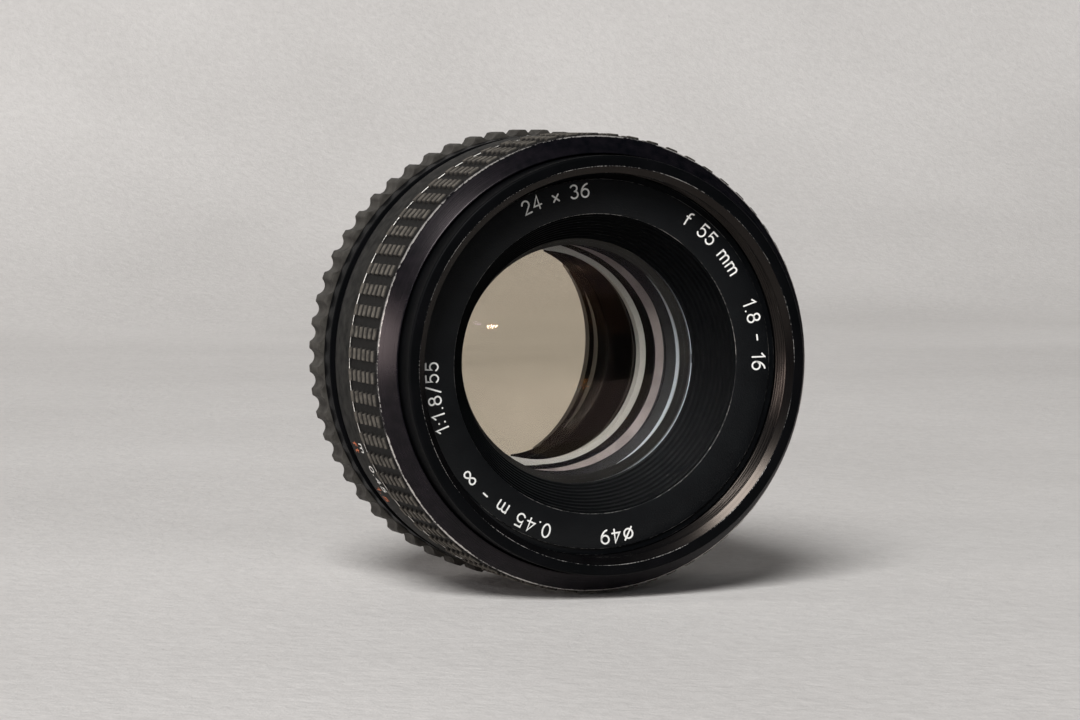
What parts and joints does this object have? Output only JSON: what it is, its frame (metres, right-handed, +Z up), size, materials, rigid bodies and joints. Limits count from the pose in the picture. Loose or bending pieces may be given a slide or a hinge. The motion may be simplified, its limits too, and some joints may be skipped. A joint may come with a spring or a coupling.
{
  "type": "prime camera lens",
  "caption": "Compact manual-focus prime camera lens with screw mount, rubber focus ring, scalloped aperture ring and a bladed iris that closes behind deep-set glass.",
  "frame": {"origin": "on the optical axis, in the face that seats on the camera", "axes": "-Y towards the subject, +Y into the camera, +Z up through the index line, as the lens sits on a level camera"},
  "size_m": [0.059, 0.0443, 0.059],
  "materials": {
    "satin_chrome": "satin chromed, turned",
    "steel": "turned steel",
    "spring_steel": "drawn spring steel",
    "brass": "turned brass",
    "black_enamel": "semi-gloss black enamel on aluminium",
    "black_anodised": "matt black anodised",
    "rubber": "matt moulded rubber",
    "blued_steel": "blackened spring steel",
    "coated_glass": "multi-coated optical glass, warm tint"
  },
  "bodies": {
    "fixed_body": {"mount_ring": "satin_chrome", "mount_screws": "steel", "fixed_barrel": "brass", "guide_keys": "steel", "guide_key_screws": "steel", "rear_housing": "black_enamel", "depth_scale_ring": "black_enamel", "rear_cover": "black_anodised", "pin_bracket": "steel", "pin_spring": "spring_steel", "click_spring": "spring_steel", "click_ball": "spring_steel", "coupler_snap_ring": "spring_steel"},
    "aperture_body": {"aperture_ring": "black_enamel", "aperture_coupler": "black_anodised", "coupler_pins": "steel"},
    "switch_body": {"auto_manual_switch": "black_enamel"},
    "pin_body": {"aperture_pin": "steel"},
    "sliding_body": {"lens_barrel": "black_anodised", "front_rim": "black_enamel", "name_ring": "black_enamel", "front_baffle": "black_anodised", "front_cell": "black_anodised", "front_clamp_ring": "black_anodised", "front_spacer": "black_anodised", "cell_lock_ring": "black_anodised", "iris_plate": "black_anodised", "iris_screws": "steel", "iris_housing": "black_anodised", "rear_cell": "black_enamel", "rear_cell_screws": "steel", "stop_side_clamp_ring": "black_anodised", "rear_clamp_ring": "black_anodised", "element_1": "coated_glass", "element_2": "coated_glass", "element_3": "coated_glass", "element_4": "coated_glass", "element_5": "coated_glass", "element_6": "coated_glass"},
    "focus_body": {"focus_ring": "black_enamel", "focus_grip": "rubber"},
    "iris_drive_body": {"iris_drive_ring": "brass"},
    "blade_1_body": {"iris_blade_1": "blued_steel"},
    "blade_2_body": {"iris_blade_2": "blued_steel"},
    "blade_3_body": {"iris_blade_3": "blued_steel"},
    "blade_4_body": {"iris_blade_4": "blued_steel"},
    "blade_5_body": {"iris_blade_5": "blued_steel"},
    "blade_6_body": {"iris_blade_6": "blued_steel"}
  },
  "joints": [
    {"name": "focus_turn", "type": "hinge", "parent": "sliding_body", "child": "focus_body", "pos_m": [0, -0.025, 0], "axis": [0, -1, 0], "range_deg": [0, 240]},
    {"name": "focus_extend", "type": "slide", "parent": "fixed_body", "child": "sliding_body", "axis": [0, -1, 0], "range_m": [0, 0.0092]},
    {"name": "aperture_turn", "type": "hinge", "parent": "fixed_body", "child": "aperture_body", "pos_m": [0, -0.008, 0], "axis": [0, -1, 0], "range_deg": [0, 50.4]},
    {"name": "iris_drive_turn", "type": "hinge", "parent": "sliding_body", "child": "iris_drive_body", "pos_m": [0, -0.0098, 0], "axis": [0, -1, 0], "range_deg": [0, 50.4]},
    {"name": "switch_slide", "type": "hinge", "parent": "fixed_body", "child": "switch_body", "pos_m": [0, -0.0029, 0], "axis": [0, -1, 0], "range_deg": [0, 12]},
    {"name": "aperture_pin_press", "type": "slide", "parent": "fixed_body", "child": "pin_body", "axis": [0, -1, 0], "range_m": [0, 0.0016], "stiffness_N_per_m": 150, "springref_m": -0.0004, "deforming": ["pin_spring"]},
    {"name": "blade_1_swing", "type": "hinge", "parent": "sliding_body", "child": "blade_1_body", "pos_m": [0.0162, -0.0115, 0], "axis": [0, -1, 0], "range_deg": [0, 29.98]},
    {"name": "blade_2_swing", "type": "hinge", "parent": "sliding_body", "child": "blade_2_body", "pos_m": [0.0081, -0.0115, 0.01403], "axis": [0, -1, 0], "range_deg": [0, 29.98]},
    {"name": "blade_3_swing", "type": "hinge", "parent": "sliding_body", "child": "blade_3_body", "pos_m": [-0.0081, -0.0115, 0.01403], "axis": [0, -1, 0], "range_deg": [0, 29.98]},
    {"name": "blade_4_swing", "type": "hinge", "parent": "sliding_body", "child": "blade_4_body", "pos_m": [-0.0162, -0.0115, 0], "axis": [0, -1, 0], "range_deg": [0, 29.98]},
    {"name": "blade_5_swing", "type": "hinge", "parent": "sliding_body", "child": "blade_5_body", "pos_m": [-0.0081, -0.0115, -0.01403], "axis": [0, -1, 0], "range_deg": [0, 29.98]},
    {"name": "blade_6_swing", "type": "hinge", "parent": "sliding_body", "child": "blade_6_body", "pos_m": [0.0081, -0.0115, -0.01403], "axis": [0, -1, 0], "range_deg": [0, 29.98]}
  ],
  "couplings": [
    {"joint": "focus_turn", "follows": "focus_extend", "rad_per_m": 455.3},
    {"joint": "iris_drive_turn", "follows": "aperture_turn", "ratio": 1},
    {"joint": "blade_1_swing", "follows": "aperture_turn", "ratio": 0.59482},
    {"joint": "blade_2_swing", "follows": "aperture_turn", "ratio": 0.59482},
    {"joint": "blade_3_swing", "follows": "aperture_turn", "ratio": 0.59482},
    {"joint": "blade_4_swing", "follows": "aperture_turn", "ratio": 0.59482},
    {"joint": "blade_5_swing", "follows": "aperture_turn", "ratio": 0.59482},
    {"joint": "blade_6_swing", "follows": "aperture_turn", "ratio": 0.59482}
  ]
}
